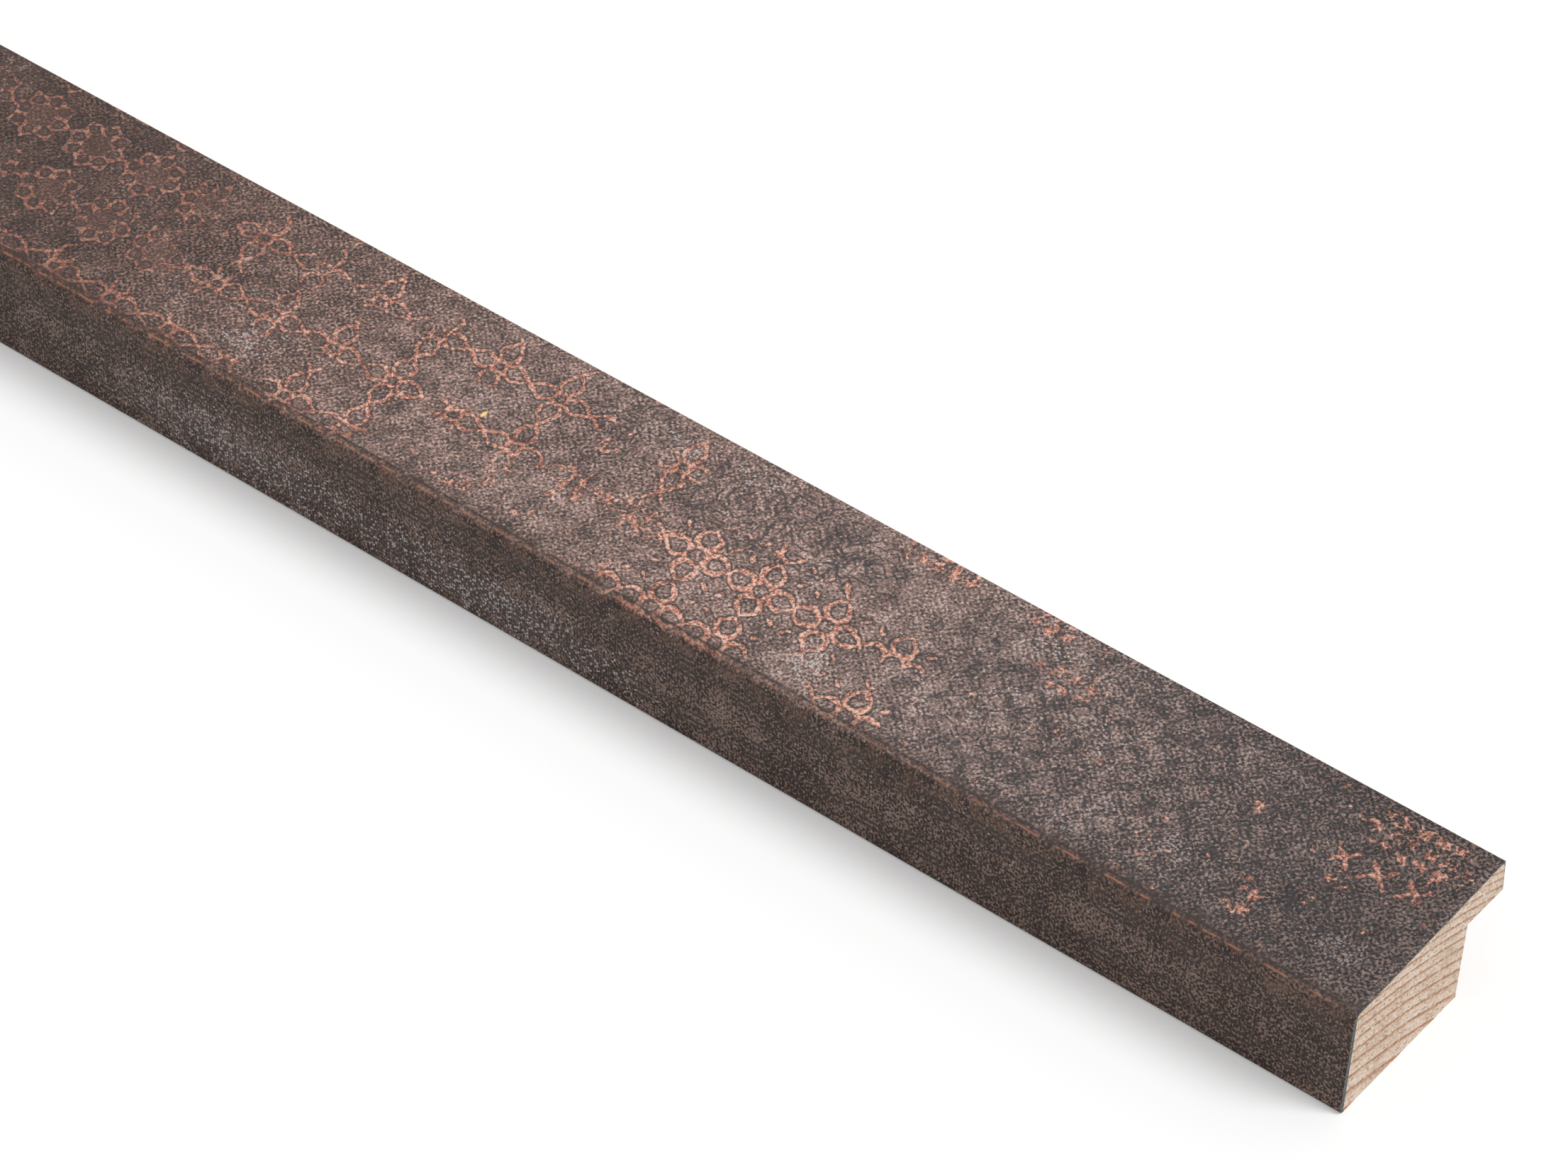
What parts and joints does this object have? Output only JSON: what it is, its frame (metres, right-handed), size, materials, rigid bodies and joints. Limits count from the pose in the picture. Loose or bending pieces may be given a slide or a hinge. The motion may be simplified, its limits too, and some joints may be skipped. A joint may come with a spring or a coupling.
{
  "type": "picture frame moulding",
  "caption": "Straight rebated picture frame moulding with a nearly flat face, planed softwood wrapped in a printed foil.",
  "frame": {"origin": "on the flat back, in the middle of the length and of the overall width", "axes": "+X along the stick, +Y across it from the outer side to the sight edge, +Z from the back to the face"},
  "size_m": [1, 0.03, 0.0163],
  "materials": {
    "timber": "planed softwood with saw-cut ends, unfinished",
    "foil": "matt printed decor foil, worn charcoal brown with copper ornament"
  },
  "bodies": {
    "root": {"timber_profile": "timber", "foil_wrap": "foil"}
  },
  "joints": []
}
